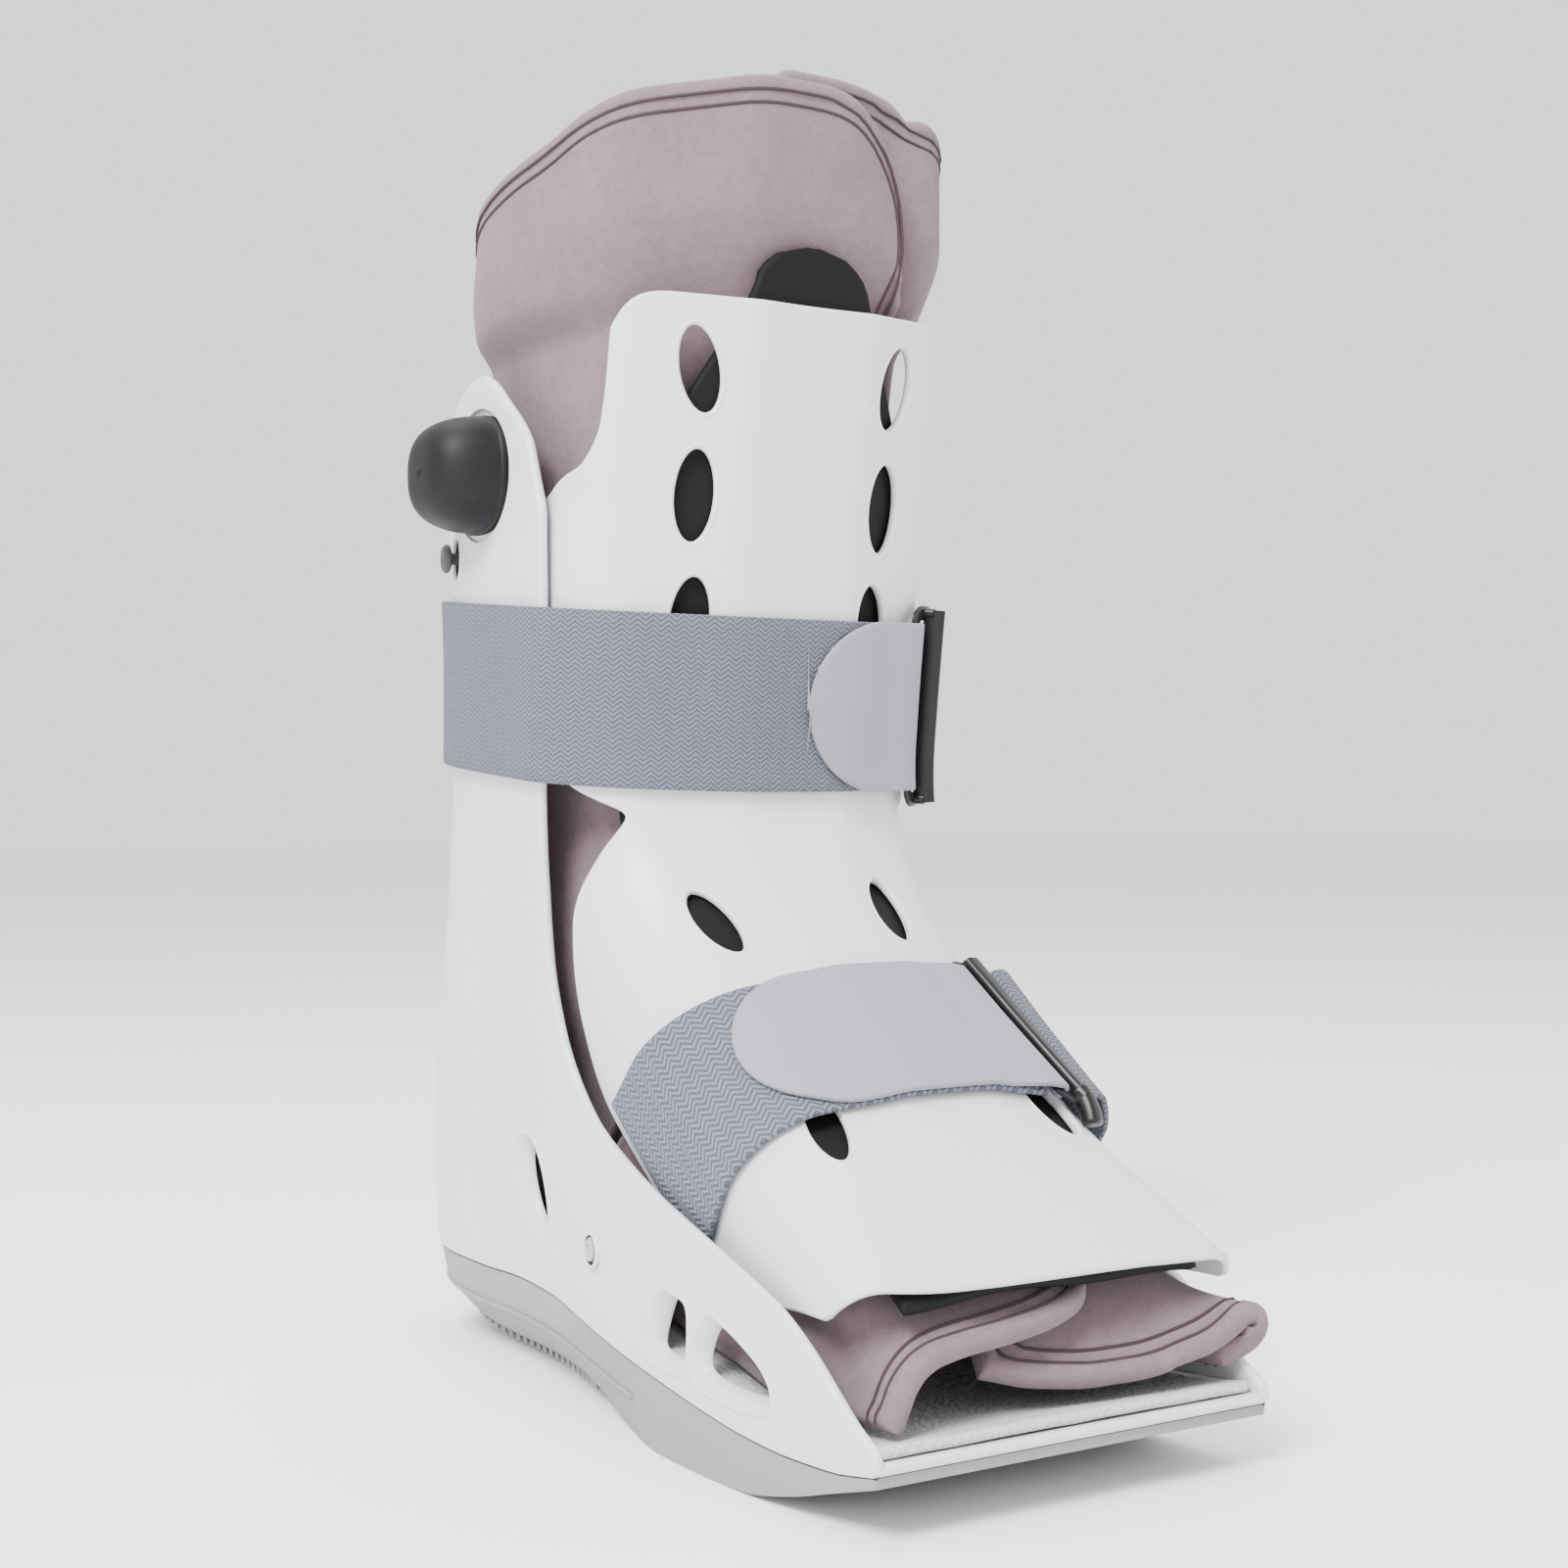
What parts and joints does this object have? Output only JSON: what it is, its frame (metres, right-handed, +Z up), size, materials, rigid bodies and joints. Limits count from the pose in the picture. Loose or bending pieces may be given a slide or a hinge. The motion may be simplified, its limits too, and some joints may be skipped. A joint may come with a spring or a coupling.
{
  "type": "walking boot",
  "caption": "Rigid open-toe walking boot with a strapped front shell, padded leg liner, rocker sole and hand air pump.",
  "frame": {"origin": "on the outsole's flat ground face, under the leg", "axes": "+Z up the leg, -Y towards the toe, +X towards the side with the strap rings; the air pump is on the -X side"},
  "size_m": [0.1632, 0.3032, 0.39],
  "materials": {
    "shell": "satin moulded plastic, light cool grey",
    "fleece": "short brushed pile, mauve grey",
    "foam": "matt black covered foam",
    "rubber": "satin black rubber",
    "webbing": "coarse woven loop webbing, blue grey",
    "hook_tape": "fine knitted tape, light grey",
    "ring": "moulded black plastic",
    "outsole": "matt moulded rubber, grey",
    "loop_fabric": "looped cloth, off-white",
    "pin": "dull metal"
  },
  "bodies": {
    "boot": {"rear_shell": "shell", "outsole": "outsole", "insole": "loop_fabric", "front_shell": "shell", "front_pad": "foam", "liner_leg": "fleece", "liner_foot_left": "fleece", "liner_foot_right": "fleece", "upper_strap": "webbing", "upper_tab": "hook_tape", "upper_ring": "ring", "lower_strap": "webbing", "lower_tab": "hook_tape", "lower_keeper": "webbing", "lower_ring": "ring", "pump_bulb": "rubber", "valve_collar": "rubber", "pin_left": "pin", "pin_right": "pin"},
    "valve": {"valve_button": "rubber"}
  },
  "joints": [
    {"name": "valve_press", "type": "slide", "parent": "boot", "child": "valve", "axis": [0.9719, -0.2353, 0], "range_m": [0, 0.002], "stiffness_N_per_m": 400}
  ]
}
